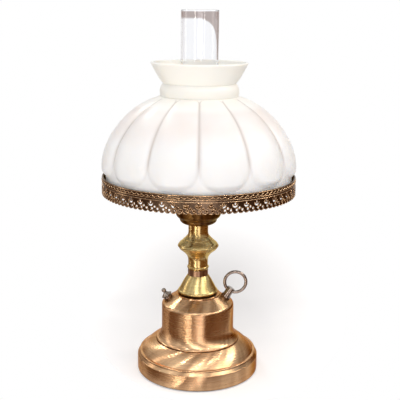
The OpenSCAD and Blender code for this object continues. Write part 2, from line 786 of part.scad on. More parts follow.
module shade_arms() {
    bend = 0.6;
    under_z = ledge_z - ledge_t;
    color("goldenrod") copies(arms, 90) difference() {
        translate([0, arm_w / 2, 0]) rotate([90, 0, 0]) linear_extrude(arm_w) polygon([
            [arm_in_r, hub_top_z], [hub_r + bend, hub_top_z], [ledge_in_r, under_z - arm_t],
            [arm_out_r, under_z - arm_t], [arm_out_r, under_z], [ledge_in_r - bend, under_z],
            [hub_r, hub_top_z + arm_t], [arm_in_r, hub_top_z + arm_t]
        ]);
        for (at = [hub_rivet_r, ledge_rivet_r])
            translate([at, 0, hub_top_z - 1]) cylinder(r = rivet_r + thread_gap, h = ledge_rise + 2);
    }
}

// A rivet with a low domed head at each end, from low_z up through a grip of metal
module rivet(low_z, grip) {
    head_h = 1;
    translate([0, 0, low_z]) turned(concat(
        [[0, -head_h]],
        curve([rivet_head_r * 0.5, -head_h], [rivet_head_r * 0.85, -head_h], [rivet_head_r, -head_h * 0.6],
            [rivet_head_r, 0], 4),
        [[rivet_r, 0], [rivet_r, grip]],
        curve([rivet_head_r, grip], [rivet_head_r, grip + head_h * 0.6], [rivet_head_r * 0.85, grip + head_h],
            [rivet_head_r * 0.5, grip + head_h], 4),
        [[0, grip + head_h]]
    ));
}

module arm_rivets() {
    color("gold") copies(arms, 90) {
        translate([hub_rivet_r, 0, 0]) rivet(hub_z, hub_t + arm_t);
        translate([ledge_rivet_r, 0, 0]) rivet(ledge_z - ledge_t - arm_t, arm_t + ledge_t);
    }
}

module shade_ring() {
    wall_h = band_h - 1.5;
    color("goldenrod") difference() {
        translate([0, 0, ledge_z]) turned([
            [ledge_in_r, -ledge_t], [holder_wall_r, -ledge_t], [holder_wall_r, wall_h],
            [holder_wall_r - ledge_t, wall_h], [holder_wall_r - ledge_t, 0], [ledge_in_r, 0]
        ]);
        copies(arms, 90) translate([ledge_rivet_r, 0, ledge_z - ledge_t - 1])
            cylinder(r = rivet_r + thread_gap, h = ledge_t + 2);
    }
}

// The embossed band has a ridge along its foot, another above it, and a rolled top edge
module gallery_band() {
    ridge = 0.5;
    roll_mid = [gallery_r - band_roll_r, band_h - band_roll_r];
    out_r = gallery_r - ridge;
    color("peru") translate([0, 0, lace_top_z]) turned(concat(
        [[band_in_r, 0], [gallery_r, 0], [gallery_r, 0.7], [out_r, 1.2], [out_r, 2.2], [gallery_r, 2.7],
            [gallery_r, 3.3], [out_r, 3.8], [out_r, band_h - 2 * band_roll_r - 0.3]],
        arc(roll_mid, band_roll_r, -60, 150, 8),
        [[band_in_r, band_h - 1.6 * band_roll_r]]
    ));
}

// What one motif of the lace cuts out: a smiling crescent, a drop over it, two holes below it, one beside it,
// and the notches that scallop the lower edge, half a scallop to each side of the crescent
module lace_openings() {
    smile_z = lace_h - smile_drop;
    drop_z = lace_h - drop_depth;
    bump_r = motif_w / 4;
    bump_z = 0.94 * bump_r;
    difference() {
        translate([0, smile_z]) circle(r = smile_r);
        translate([0, smile_z + smile_t]) circle(r = smile_r);
    }
    translate([-drop_r, drop_z]) square([2 * drop_r, drop_h]);
    for (z = [drop_z, drop_z + drop_h]) translate([0, z]) circle(r = drop_r, $fn = 24);
    for (at = [-bump_r, bump_r]) translate([at + low_off, low_z]) circle(r = low_r, $fn = 24);
    translate([side_off - motif_w / 2, side_z]) circle(r = side_r, $fn = 24);
    for (at = [-bump_r, bump_r]) translate([at, 0]) difference() {
        translate([-0.76 * bump_r, -1]) square([1.52 * bump_r, bump_z + 1]);
        for (s = [-1, 1]) translate([s * bump_r, bump_z]) circle(r = bump_r);
    }
}

module gallery_lace() {
    color("peru") difference() {
        translate([0, 0, lace_z]) ring_solid(gallery_r, band_in_r, lace_h);
        copies(motifs, -90) translate([gallery_r + gallery_t, 0, lace_z]) rotate([90, 0, -90])
            linear_extrude(4 * gallery_t) lace_openings();
    }
}

// Lamp holder and bulb

module socket_cap() {
    neck = pipe_r + 2.5;
    color("gold") translate([0, 0, socket_z]) turned([
        [thread_r, 0], [neck, 0], [neck, 3.6], [cap_r - 3, 6.6], [cap_r, 10.6], [cap_r, 17],
        [cap_r - cap_wall, 17], [cap_r - cap_wall, 11], [cap_r - 3.6, 7.6], [neck - 1, 5.2], [thread_r, 5.2]
    ]);
}

module socket_core() {
    lead_hole = lead_apart + lead_r + 0.4;
    color("black") difference() {
        translate([0, 0, core_z]) cylinder(r = screw_shell_r - 1.6, h = core_top_z - core_z);
        translate([0, 0, core_z - 1]) cylinder(r = lead_hole, h = 3);
    }
}

module socket_screw_shell() {
    shell_z = core_top_z - 4;
    color("silver") difference() {
        translate([0, 0, shell_z]) cylinder(r = screw_shell_r, h = holder_z + holder_h - 3 - shell_z);
        translate([0, 0, core_top_z]) cylinder(r = screw_shell_r - screw_shell_t, h = holder_h + 2);
        translate([0, 0, shell_z - 1]) cylinder(r = screw_shell_r - 1.55, h = 8);
    }
}

module socket_contact() {
    color("goldenrod") translate([0, 0, core_top_z]) cylinder(r1 = 4, r2 = 2.6, h = contact_h);
}

module socket_sleeve() {
    sleeve_t = 0.5;
    out_r = holder_r - holder_wall - sheet_gap;
    color("tan") translate([0, 0, holder_z]) ring_solid(out_r, out_r - sleeve_t, holder_h - 1);
}

module socket_shell() {
    bead = 0.5;
    in_r = holder_r - holder_wall;
    color("gold") translate([0, 0, holder_z]) turned([
        [in_r, 0], [holder_r, 0], [holder_r, holder_h - 9], [holder_r + bead, holder_h - 8],
        [holder_r + bead, holder_h - 6], [holder_r, holder_h - 5], [holder_r, holder_h - 1.6],
        [holder_r + bead, holder_h - 0.8], [holder_r + bead, holder_h], [in_r, holder_h]
    ]);
}

module bulb_screw_cap() {
    insulator_h = 4;
    cap_top = holder_z + holder_h - bulb_z;
    color("silver") translate([0, 0, bulb_z]) turned([
        [0, 0], [3.4, 0], [4.4, 1], [8.5, insulator_h - 1], [bulb_cap_r, insulator_h + 2],
        [bulb_cap_r, cap_top], [0, cap_top]
    ]);
}

module bulb_glass() {
    glass_t = 0.9;
    low = holder_z + holder_h - bulb_z;
    straight = low + 14;
    outside = concat(
        [[bulb_cap_r - 0.6, low]],
        curve([bulb_cap_r - 0.4, low + 2], [bulb_cap_r, low + 7], [bulb_r, low + 8], [bulb_r, straight]),
        arc([0, bulb_l - bulb_r], bulb_r, 0, 90, 10)
    );
    inside = concat(
        [[bulb_cap_r - 0.6 - glass_t, low]],
        curve([bulb_cap_r - 0.4 - glass_t, low + 2], [bulb_cap_r - glass_t, low + 7],
            [bulb_r - glass_t, low + 8], [bulb_r - glass_t, straight]),
        arc([0, bulb_l - bulb_r], bulb_r - glass_t, 0, 90, 10)
    );
    color("ivory") translate([0, 0, bulb_z]) turned(concat(outside, backward(inside)));
}

// Glass

// The shade's crest outline, from the fitter's rim up over the lobes, the groove and the neck to the collar
shade_turn = [shade_groove_r, shade_groove_z];
shade_wide = [shade_r, shade_wide_z];
shade_neck = [neck_r, shade_groove_z + neck_h];
shade_low = curve([fitter_r, fitter_h], [fitter_r + 0.4, fitter_h + 6], [shade_r, shade_wide_z - 5],
    shade_wide, 4);
shade_body = curve(shade_wide, shade_wide + [0.5, 44], [shade_r - 39, shade_groove_z - 9.5], shade_turn, 11);
shade_roll = curve(shade_turn, shade_turn + [2, 4], [shade_groove_r + 2.5, shade_neck[1] - 5], shade_neck, 4);
shade_rim = [collar_r, shade_neck[1] + collar_h];
shade_collar = curve(shade_neck, shade_neck + [4.4, 3.7], shade_rim - [7.2, 13], shade_rim, 5);
shade_crest = concat([[fitter_r, 0]], shade_low, tail(shade_body), tail(shade_roll), tail(shade_collar));

// How much of the groove depth a point of the crest takes: none on the fitter, the neck and the collar
function lobe_share(p) = p[1] > shade_groove_z - 0.1 ? 0
    : p[1] < shade_wide_z ? max(0, (p[0] - fitter_r) / lobe_out)
    : min(1, (p[0] - shade_groove_r) / (1.4 * lobe_head_w));
// A lobe's half width: 1 along its sides, and the side of a rounded U at its foot and of an arch at its head
lobe_round = 2.6;
function rounded(t) = pow(1 - pow(max(0, min(1, t)), lobe_round), 1 / lobe_round);
function lobe_half(p) = max(0.01, rounded(1 - (p[1] - fitter_h) / lobe_foot_h)
    * (p[1] < shade_wide_z ? 1 : rounded(1 - (p[0] - shade_groove_r) / lobe_head_w)));
// A lobe's section: 0 along its crest and 1 in the groove. One groove lies on the front, at -Y
function off_crest(turn) = let (at = (turn + 90) * lobes / 360) abs(2 * (at - floor(at)) - 1);
function groove_at(turn, half) = pow(min(1, off_crest(turn) / half), lobe_round);

module glass_shade() {
    around = 8 * lobes;
    share = [for (p = shade_crest) lobe_share(p)];
    half = [for (p = shade_crest) lobe_half(p)];
    loop = concat(shade_crest, backward(beside(shade_crest, shade_wall)));
    depth = lobe_depth * concat(share, backward(share));
    halves = concat(half, backward(half));
    rows = len(loop);
    points = [for (j = [0:around - 1], i = [0:rows - 1])
        let (turn = 360 * j / around, r = loop[i][0] - depth[i] * groove_at(turn, halves[i]))
            [r * cos(turn), r * sin(turn), shade_z + loop[i][1]]];
    faces = [for (j = [0:around - 1], i = [0:rows - 1])
        let (a = j * rows + i, b = j * rows + (i + 1) % rows, c = ((j + 1) % around) * rows + i,
            d = ((j + 1) % around) * rows + (i + 1) % rows)
            each [[a, b, d], [a, d, c]]];
    color("ivory") polyhedron(points, faces);
}

module glass_chimney() {
    in_r = chimney_r - chimney_wall;
    round_r = chimney_wall / 2;
    mid_r = chimney_r - round_r;
    color("lightcyan") translate([0, 0, chimney_z]) turned(concat(
        [[in_r, 0], [chimney_r, 0]],
        arc([mid_r, chimney_l - round_r], round_r, 0, 180)
    ));
}

felt_pad();
ballast_weight();
base_foot();
cord_bushing();
bottom_washer();
bottom_nut();
lamp_pipe();
font_body();
switch_case_body();
switch_bushing();
switch_nut();
switch_spindle();
switch_knob();
switch_leads();
ring_collar();
ring_post();
ring_post_nut();
finger_ring();
column_bell();
column_spacer();
column_baluster();
burner_cup();
shade_hub();
shade_arms();
arm_rivets();
shade_ring();
gallery_band();
gallery_lace();
hub_lock_nut();
chimney_basket();
chimney_prongs();
socket_cap();
socket_core();
socket_screw_shell();
socket_contact();
socket_sleeve();
socket_shell();
bulb_screw_cap();
bulb_glass();
glass_shade();
glass_chimney();
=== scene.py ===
import math

import bpy
import numpy as np
from mathutils import Matrix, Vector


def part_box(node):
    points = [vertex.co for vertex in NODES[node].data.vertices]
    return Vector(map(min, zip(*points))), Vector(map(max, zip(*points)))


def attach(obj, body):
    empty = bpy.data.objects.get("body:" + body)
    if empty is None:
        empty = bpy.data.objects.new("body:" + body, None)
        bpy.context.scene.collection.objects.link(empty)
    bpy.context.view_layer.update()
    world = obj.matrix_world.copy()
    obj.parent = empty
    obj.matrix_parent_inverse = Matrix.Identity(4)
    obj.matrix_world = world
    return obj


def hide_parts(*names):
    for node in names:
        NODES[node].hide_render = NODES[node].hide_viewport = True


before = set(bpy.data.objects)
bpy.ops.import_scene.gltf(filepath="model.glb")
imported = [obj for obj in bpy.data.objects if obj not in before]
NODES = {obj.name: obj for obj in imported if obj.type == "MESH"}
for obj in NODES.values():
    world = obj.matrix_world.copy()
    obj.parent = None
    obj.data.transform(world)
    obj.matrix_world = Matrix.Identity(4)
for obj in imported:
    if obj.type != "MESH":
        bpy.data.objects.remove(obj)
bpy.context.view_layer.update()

bl_info = {
    "name": "Oil-lamp style table lamp",
    "version": (1, 0, 0),
    "blender": (4, 5, 0),
    "location": "View3D > Sidebar > Lamp",
    "description": "Dresses the packed lamp with glass, stamped brass and spun copper-brass",
    "category": "Object",
}

MM = 0.001


def srgb(code):
    """A colour written as sRGB hex, such as #a57a5b, as linear red, green, blue and alpha."""
    levels = np.array([int(code[i:i + 2], 16) for i in (1, 3, 5)]) / 255
    linear = np.where(levels <= 0.04045, levels / 12.92, ((levels + 0.055) / 1.055) ** 2.4)
    return (*linear.tolist(), 1.0)


def length(name, description, millimetres):
    """A size property, held in metres and written here in millimetres."""
    return bpy.props.FloatProperty(
        name=name, description=description, default=millimetres * MM, min=0.0, unit="LENGTH", precision=5)


def colour(name, description, code):
    """A colour property with an sRGB hex default."""
    return bpy.props.FloatVectorProperty(
        name=name, description=description, default=srgb(code), size=4, min=0.0, max=1.0, subtype="COLOR")


class LampShadeSizes(bpy.types.PropertyGroup):
    """Sizes of the milk-glass shade and of the chimney's wall."""

    lobes: bpy.props.IntProperty(
        name="Lobes", description="Number of lobes round the shade", default=12, min=4)
    lobe_depth: length("Lobe depth", "How far a lobe stands out of its grooves", 5.6)
    lobe_foot: length("Lobe foot", "Height of the rounded foot of a lobe", 32.0)
    lobe_head: length("Lobe head", "Depth of the arched head of a lobe, towards the axis", 16.0)
    fitter_r: length("Fitter radius", "Radius of the plain rim that stands on the ledge", 124.7)
    fitter_h: length("Fitter height", "Height of the plain rim below the lobes", 8.5)
    wide_r: length("Greatest radius", "Radius over the crests of the lobes", 130.8)
    wide_z: length("Height of the greatest radius", "Above the fitter's rim", 21.0)
    groove_r: length("Groove radius", "Radius of the groove under the neck roll", 51.2)
    groove_z: length("Groove height", "Height of that groove above the fitter's rim", 114.5)
    neck_r: length("Neck radius", "Radius of the notch under the collar", 47.9)
    neck_z: length("Neck height", "Height of that notch above the fitter's rim", 131.5)
    collar_r: length("Collar radius", "Radius of the flared collar's rim", 64.2)
    collar_z: length("Collar height", "Height of the collar's rim above the fitter's rim", 157.5)
    wall: length("Shade wall", "Wall of the shade", 3.0)
    chimney_wall: length("Chimney wall", "Wall of the chimney", 2.0)


class LampGallerySizes(bpy.types.PropertyGroup):
    """Sizes of the stamped gallery's relief."""

    motifs: bpy.props.IntProperty(
        name="Motifs", description="Lace motifs round the gallery", default=54, min=12)
    lace_cord: length("Lace cord", "Radius of the raised cord round each opening of the lace", 0.5)
    scroll: length("Scroll", "Radius of the raised scroll on the band", 0.7)


class LampColours(bpy.types.PropertyGroup):
    """Colours of the finishes."""

    copper: colour("Copper-brass", "Spun foot and font", "#eec69a")
    copper_dark: colour("Copper-brass, toned", "Where the lacquer on foot and font has darkened", "#845024")
    brass: colour("Brass", "Turned column", "#f4dc9c")
    brass_dark: colour("Brass, toned", "Where the column has darkened", "#bd9c5c")
    spacer: colour("Spacer copper", "Plain dark length of the column", "#c09a7c")
    spacer_dark: colour("Spacer copper, toned", "Darkest tone of that length", "#7a5844")
    bronze: colour("Bronze", "Burner cup and shade holder", "#94703f")
    bronze_dark: colour("Bronze, toned", "Darkest tone of cup and holder", "#573b1e")
    antique: colour("Antique brass", "Ground of the gallery", "#85705d")
    antique_dark: colour("Antique brass, toned", "Hollows of the gallery", "#2a2019")
    nickel: colour("Nickel", "Knob, ring and post", "#b8aea6")
    nickel_dark: colour("Nickel, worn", "Worn nickel with brass showing", "#6c5d53")
    opal: colour("Opal glass", "Body of the shade", "#f6f6f8")
    opal_cream: colour("Opal glass, cream", "Collar and neck of the shade", "#f8f5ee")
    opal_rose_shade: colour("Opal glass, rose", "Faint blush on the shade's shoulder", "#e6dbd7")
    opal_groove_shade: colour("Opal glass, grooves", "Grooves between the lobes", "#ccc6c4")


class LampStageSettings(bpy.types.PropertyGroup):
    """The camera and the light."""

    camera_away: length("Camera distance", "Level distance from the lamp's axis", 1046.2)
    camera_height: length("Camera height", "Above the table", 487.1)
    camera_tilt: bpy.props.FloatProperty(
        name="Camera tilt", description="Below the level", default=math.radians(13.14), subtype="ANGLE")
    camera_roll: bpy.props.FloatProperty(
        name="Camera roll", description="About the line of sight", default=math.radians(0.50),
        subtype="ANGLE")
    camera_yaw: bpy.props.FloatProperty(
        name="Camera yaw", description="To the left", default=math.radians(-0.107), subtype="ANGLE")
    lens: bpy.props.FloatProperty(
        name="Lens", description="Focal length on a 36 mm sensor", default=71.04, subtype="DISTANCE_CAMERA")
    level: bpy.props.FloatProperty(
        name="Light level", description="Factor on every lamp's power", default=1.0, min=0.0)
    room: bpy.props.FloatProperty(
        name="Room light", description="Strength of the plain room round the lamp", default=0.56, min=0.0)


# Meshes from grids


def arc(mid, radius, start, end, count=10):
    """Points of a circle: mid plus radius times the cosine and sine of angles in degrees, start to end."""
    turn = np.radians(np.linspace(start, end, count))
    return np.column_stack((mid[0] + radius * np.cos(turn), mid[1] + radius * np.sin(turn)))


def bezier(a, b, c, d, count=16):
    """Points of a cubic curve that leaves a towards b and comes into d from c."""
    t = np.linspace(0, 1, count)[:, None]
    s = 1 - t
    a, b, c, d = (np.asarray(p, float) for p in (a, b, c, d))
    return s ** 3 * a + 3 * s ** 2 * t * b + 3 * s * t ** 2 * c + t ** 3 * d


def joined(*parts):
    """Stretches of an outline put end to end, without points that repeat."""
    points = np.vstack([np.atleast_2d(np.asarray(p, float)) for p in parts])
    apart = np.linalg.norm(np.diff(points, axis=0), axis=1) > 1e-6
    return points[np.concatenate(([True], apart))]


def inside_of(points, wall):
    """An outline moved to its left by a wall: each point goes square to the line between its neighbours."""
    ahead = np.gradient(points, axis=0)
    ahead /= np.linalg.norm(ahead, axis=1, keepdims=True)
    return points + wall * np.column_stack((-ahead[:, 1], ahead[:, 0]))


def grid_faces(rows, columns, close_rows=True, close_columns=True):
    """Four-cornered faces between neighbours on a grid that may close on itself both ways."""
    i = np.arange(rows if close_rows else rows - 1)[:, None]
    j = np.arange(columns if close_columns else columns - 1)[None, :]
    up, on = (i + 1) % rows, (j + 1) % columns
    corners = (i * columns + j, i * columns + on, up * columns + on, up * columns + j)
    return np.stack([np.broadcast_to(c, (i.size, j.size)) for c in corners], axis=-1).reshape(-1, 4)


def piece(name, points, faces, body, material, sharp=80.0):
    """A mesh object at the origin, from points in metres and faces. It rides on a body, and is smooth except
    where faces meet at more than sharp degrees."""
    mesh = bpy.data.meshes.new(name)
    mesh.from_pydata(points.reshape(-1, 3), [], faces)
    mesh.polygons.foreach_set("use_smooth", np.ones(len(faces), bool))
    mesh.set_sharp_from_angle(angle=math.radians(sharp))
    mesh.materials.append(material)
    mesh.update()
    obj = bpy.data.objects.new(name, mesh)
    bpy.context.scene.collection.objects.link(obj)
    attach(obj, body)
    return obj


def revolved(outline, around):
    """A closed outline of radius and height carried round the Z axis.
    Its x and y are the radius times the cosine and sine of the angle round."""
    turn = np.linspace(0, 2 * np.pi, around, endpoint=False)
    radius, height = outline[:, :1], outline[:, 1:]
    return np.stack((radius * np.cos(turn), radius * np.sin(turn), height + 0 * turn), axis=-1)


def wrapped(flat, radius):
    """Flat points of distance along, height and stand-off, rolled onto a cylinder round the Z axis.
    The angle is the distance over the cylinder's radius, from the front; the stand-off adds to the radius."""
    turn = flat[..., 0] / radius - np.pi / 2
    out = radius + flat[..., 2]
    return np.stack((out * np.cos(turn), out * np.sin(turn), flat[..., 1]), axis=-1)


def cord_along(path, thick, sides, closed):
    """A round section carried along flat paths of distance along and height.
    Each ring lies in the plane of the path's left side and of the stand-off: path plus thick times the cosine
    of an angle to the left, with thick times its sine as stand-off."""
    if closed:
        ahead = np.roll(path, -1, axis=-2) - np.roll(path, 1, axis=-2)
    else:
        ahead = np.gradient(path, axis=-2)
    ahead = ahead / np.linalg.norm(ahead, axis=-1, keepdims=True)
    left = np.stack((-ahead[..., 1], ahead[..., 0]), axis=-1)
    turn = np.linspace(0, 2 * np.pi, sides, endpoint=False)
    across = path[..., None, :] + thick * np.cos(turn)[:, None] * left[..., None, :]
    off = np.broadcast_to(thick * np.sin(turn), across.shape[:-1])
    return np.concatenate((across, off[..., None]), axis=-1)


def corded(paths, thick, closed, sides=6):
    """Cords along several flat paths, as pairs of points and outward faces."""
    return [(cord_along(path, thick, sides, closed).reshape(-1, 3),
             grid_faces(len(path), sides, close_rows=closed)[:, ::-1]) for path in paths]


def repeated(flat, faces, count, pitch):
    """A flat shape and its faces, set out count times at a pitch along the first axis."""
    shift = np.zeros((count, 1, 3))
    shift[:, 0, 0] = pitch * np.arange(count)
    points = flat.reshape(1, -1, 3) + shift
    starts = points.shape[1] * np.arange(count)[:, None, None]
    return points.reshape(-1, 3), (faces[None] + starts).reshape(-1, faces.shape[1])


def gathered(shapes):
    """Several pairs of points and faces as one pair."""
    starts = np.cumsum([0] + [len(p) for p, _ in shapes[:-1]])
    return np.vstack([p for p, _ in shapes]), np.vstack([f + s for (_, f), s in zip(shapes, starts)])


# Materials


def add(tree, kind, inputs=None, **settings):
    """Adds one node and gives its outputs. Settings are the node's own, and inputs hold values, or outputs
    to link."""
    node = tree.nodes.new("ShaderNode" + kind)
    for name, value in settings.items():
        setattr(node, name, value)
    for key, value in (inputs or {}).items():
        if isinstance(value, bpy.types.NodeSocket):
            tree.links.new(value, node.inputs[key])
        else:
            node.inputs[key].default_value = value
    return node.outputs


def new_material(name):
    """An empty node material, as the material, its tree and its Object coordinates."""
    material = bpy.data.materials.new(name)
    material.use_nodes = True
    tree = material.node_tree
    tree.nodes.clear()
    return material, tree, add(tree, "TexCoord")["Object"]


def turned_metal(name, bright, dark, edge, rough, streak, toned, wipes):
    """Metal finished on a lathe and lacquered. The marks of a polishing cloth, about wipes to a radian, swirl
    over domes and run down walls, and they carry its colour from bright towards dark by a share of toned.
    Fine marks lie round the axis, and painted shade darkens the creases. Its roughness is about rough, streak
    draws its highlights out across the marks, and edge is its tint where it is seen edge on."""
    material, tree, place = new_material(name)
    parts = add(tree, "SeparateXYZ", {0: place})
    level = add(tree, "CombineXYZ", {0: parts[0], 1: parts[1]})[0]
    radius = add(tree, "VectorMath", {0: level}, operation="LENGTH")["Value"]
    # Real lathe marks are about 0.2 mm apart; at 1.4 mm they show in the render.
    across, along = 1 / (1.4 * MM), 1 / (60 * MM)
    ring = add(tree, "Math", {0: radius, 1: across}, operation="MULTIPLY")[0]
    squeezed = add(tree, "VectorMath", {0: place, 1: (along, along, across)}, operation="MULTIPLY")[0]
    marks = add(tree, "TexNoise", {"Vector": squeezed, "W": ring, "Scale": 1.0, "Detail": 2.0},
                noise_dimensions="4D")[0]
    # The cloth moves a radian round the axis in 70 mm outwards, and its marks change over 60 mm of height.
    turn = add(tree, "Math", {0: radius, 1: 1 / (70 * MM)}, operation="MULTIPLY")[0]
    spoke = add(tree, "VectorMath", {0: level}, operation="NORMALIZE")[0]
    swirl = add(tree, "VectorRotate", {"Vector": spoke, "Angle": turn}, rotation_type="Z_AXIS")[0]
    rise = add(tree, "Math", {0: parts[2], 1: 1 / (60 * MM * wipes)}, operation="MULTIPLY")[0]
    cloth = add(tree, "TexNoise", {"Vector": swirl, "W": rise, "Scale": wipes, "Detail": 1.0},
                noise_dimensions="4D")[0]
    wiped = add(tree, "MapRange", {"Value": cloth, "From Min": 0.38, "From Max": 0.66, "To Max": toned})[0]
    lined = add(tree, "MapRange", {"Value": marks, "From Min": 0.3, "From Max": 0.7, "To Max": 0.2})[0]
    share = add(tree, "Math", {0: wiped, 1: lined}, operation="ADD", use_clamp=True)[0]
    clean = add(tree, "Mix", {0: share, 6: bright, 7: dark}, data_type="RGBA")[2]
    # Painted shade: the colour darkens within about 4 mm of a fold or hollow, where ambient occlusion finds
    # the surface hidden from light.
    open_to_light = add(tree, "AmbientOcclusion", {"Distance": 4 * MM}, samples=8)["AO"]
    crease_shade = add(tree, "MapRange", {"Value": open_to_light, "From Min": 0.75, "From Max": 0.35,
                                    "To Max": 0.85})[0]
    tone = add(tree, "Mix", {0: crease_shade, 6: clean, 7: srgb("#2b1a0e")}, data_type="RGBA")[2]
    gloss = add(tree, "MapRange", {"Value": marks, "From Min": 0.2, "From Max": 0.8,
                                   "To Min": rough * 0.85, "To Max": rough * 1.2})[0]
    bump = add(tree, "Bump", {"Height": marks, "Strength": 0.15, "Distance": 0.1 * MM})[0]
    around = add(tree, "Tangent", direction_type="RADIAL", axis="Z")[0]
    # The brush lay aslant, by this share of a full turn, so the streaks lean.
    slant = 0.153
    shader = add(tree, "BsdfPrincipled", {
        "Base Color": tone, "Metallic": 1.0, "Roughness": gloss, "Normal": bump, "Tangent": around,
        "Specular Tint": srgb(edge), "Anisotropic": streak, "Anisotropic Rotation": slant,
        "Coat Weight": 0.2, "Coat Roughness": 0.1})
    add(tree, "OutputMaterial", {"Surface": shader[0]})
    return material


def worn_metal(name, bright, dark, rough, spot, relief=0.15):
    """Plated, drawn or stamped metal. Spots about as wide as spot, and larger patches, carry its colour from
    bright to dark. The spots make its roughness, about rough, uneven and raise its surface by a share of
    relief. Painted shade darkens the creases."""
    material, tree, place = new_material(name)
    spots = add(tree, "TexNoise", {"Vector": place, "Scale": 1 / spot, "Detail": 4.0})[0]
    patch = 16 * spot
    patches = add(tree, "TexNoise", {"Vector": place, "Scale": 1 / patch, "Detail": 3.0})[0]
    spotted = add(tree, "MapRange", {"Value": spots, "From Min": 0.35, "From Max": 0.7, "To Max": 0.6})[0]
    patched = add(tree, "MapRange", {"Value": patches, "From Min": 0.3, "From Max": 0.75, "To Max": 0.4})[0]
    share = add(tree, "Math", {0: spotted, 1: patched}, operation="ADD")[0]
    clean = add(tree, "Mix", {0: share, 6: bright, 7: dark}, data_type="RGBA")[2]
    # Painted shade: the colour darkens within about 2 mm of a fold or hollow, where ambient occlusion finds
    # the surface hidden from light.
    open_to_light = add(tree, "AmbientOcclusion", {"Distance": 2 * MM}, samples=8)["AO"]
    crease_shade = add(tree, "MapRange", {"Value": open_to_light, "From Min": 0.8, "From Max": 0.4,
                                    "To Max": 0.8})[0]
    tone = add(tree, "Mix", {0: crease_shade, 6: clean, 7: srgb("#1e1612")}, data_type="RGBA")[2]
    gloss = add(tree, "MapRange", {"Value": spots, "From Min": 0.2, "From Max": 0.8,
                                   "To Min": rough * 0.75, "To Max": rough * 1.3})[0]
    bump = add(tree, "Bump", {"Height": spots, "Strength": relief, "Distance": 0.2 * MM})[0]
    shader = add(tree, "BsdfPrincipled", {
        "Base Color": tone, "Metallic": 1.0, "Roughness": gloss, "Normal": bump})
    add(tree, "OutputMaterial", {"Surface": shader[0]})
    return material


def dull_stuff(name, bright, dark, rough, grain):
    """Pressed, cast or moulded stuff without a metal's shine: two tones in a grain, and slightly uneven."""
    material, tree, place = new_material(name)
    spots = add(tree, "TexNoise", {"Vector": place, "Scale": 1 / grain, "Detail": 4.0})[0]
    tone = add(tree, "Mix", {0: spots, 6: srgb(bright), 7: srgb(dark)}, data_type="RGBA")[2]
    gloss = add(tree, "MapRange", {"Value": spots, "To Min": rough * 0.8, "To Max": rough * 1.2})[0]
    bump = add(tree, "Bump", {"Height": spots, "Strength": 0.25, "Distance": 0.15 * MM})[0]
    shader = add(tree, "BsdfPrincipled", {
        "Base Color": tone, "IOR": 1.5, "Roughness": gloss, "Normal": bump})
    add(tree, "OutputMaterial", {"Surface": shader[0]})
    return material


def opal_glass(tones):
    """Opal glass, pressed and fire-polished: white and a little translucent, so shadows on it are soft.
    It is creamier at the neck and softly glossy over a slow unevenness. Painted shade lies on it as a rosy
    band on the shoulder and as grey lines along the grooves."""
    material, tree, place = new_material("opal_glass_pressed")
    cream = add(tree, "Attribute", attribute_name="cream")["Fac"]
    rose_shade = add(tree, "Attribute", attribute_name="rose_shade")["Fac"]
    groove = add(tree, "Attribute", attribute_name="groove")["Fac"]
    clouds = add(tree, "TexNoise", {"Vector": place, "Scale": 1 / (60 * MM), "Detail": 2.0})[0]
    # Painted shade: a rosy band on the shoulder, in clouds, and grey lines along the grooves.
    cloudy = add(tree, "Math", {0: clouds, 1: rose_shade}, operation="MULTIPLY")[0]
    body = add(tree, "Mix", {0: cream, 6: tones.opal, 7: tones.opal_cream}, data_type="RGBA")[2]
    blushed = add(tree, "Mix", {0: cloudy, 6: body, 7: tones.opal_rose_shade}, data_type="RGBA")[2]
    lined = add(tree, "Mix", {0: groove, 6: blushed, 7: tones.opal_groove_shade}, data_type="RGBA")[2]
    ripple = add(tree, "TexNoise", {"Vector": place, "Scale": 1 / (14 * MM), "Detail": 1.0})[0]
    bump = add(tree, "Bump", {"Height": ripple, "Strength": 0.05, "Distance": 0.4 * MM})[0]
    shader = add(tree, "BsdfPrincipled", {
        "Base Color": lined, "IOR": 1.5, "Roughness": 0.38, "Normal": bump, "Subsurface Weight": 0.75,
        "Subsurface Radius": (1.0, 0.9, 0.8), "Subsurface Scale": 6 * MM})
    add(tree, "OutputMaterial", {"Surface": shader[0]})
    return material


def clear_glass():
    """Soda glass, drawn as a tube: clear and dulled a little by dust, with painted shade as a dark line where
    the wall is seen edge on."""
    material, tree, place = new_material("soda_glass_drawn")
    dust = add(tree, "TexNoise", {"Vector": place, "Scale": 1 / (20 * MM), "Detail": 4.0})[0]
    clean = add(tree, "Mix", {0: dust, 6: srgb("#ffffff"), 7: srgb("#fbfcff")}, data_type="RGBA")[2]
    # Painted shade: the colour darkens towards the outline, where the wall is seen edge on.
    facing = add(tree, "LayerWeight", {"Blend": 0.5})["Facing"]
    edge = add(tree, "MapRange", {"Value": facing, "From Min": 0.75, "From Max": 1.0})[0]
    tone = add(tree, "Mix", {0: edge, 6: clean, 7: srgb("#6f6a69")}, data_type="RGBA")[2]
    gloss = add(tree, "MapRange", {"Value": dust, "To Min": 0.0, "To Max": 0.03})[0]
    shader = add(tree, "BsdfPrincipled", {
        "Base Color": tone, "IOR": 1.45, "Roughness": gloss, "Transmission Weight": 1.0})
    add(tree, "OutputMaterial", {"Surface": shader[0]})
    return material


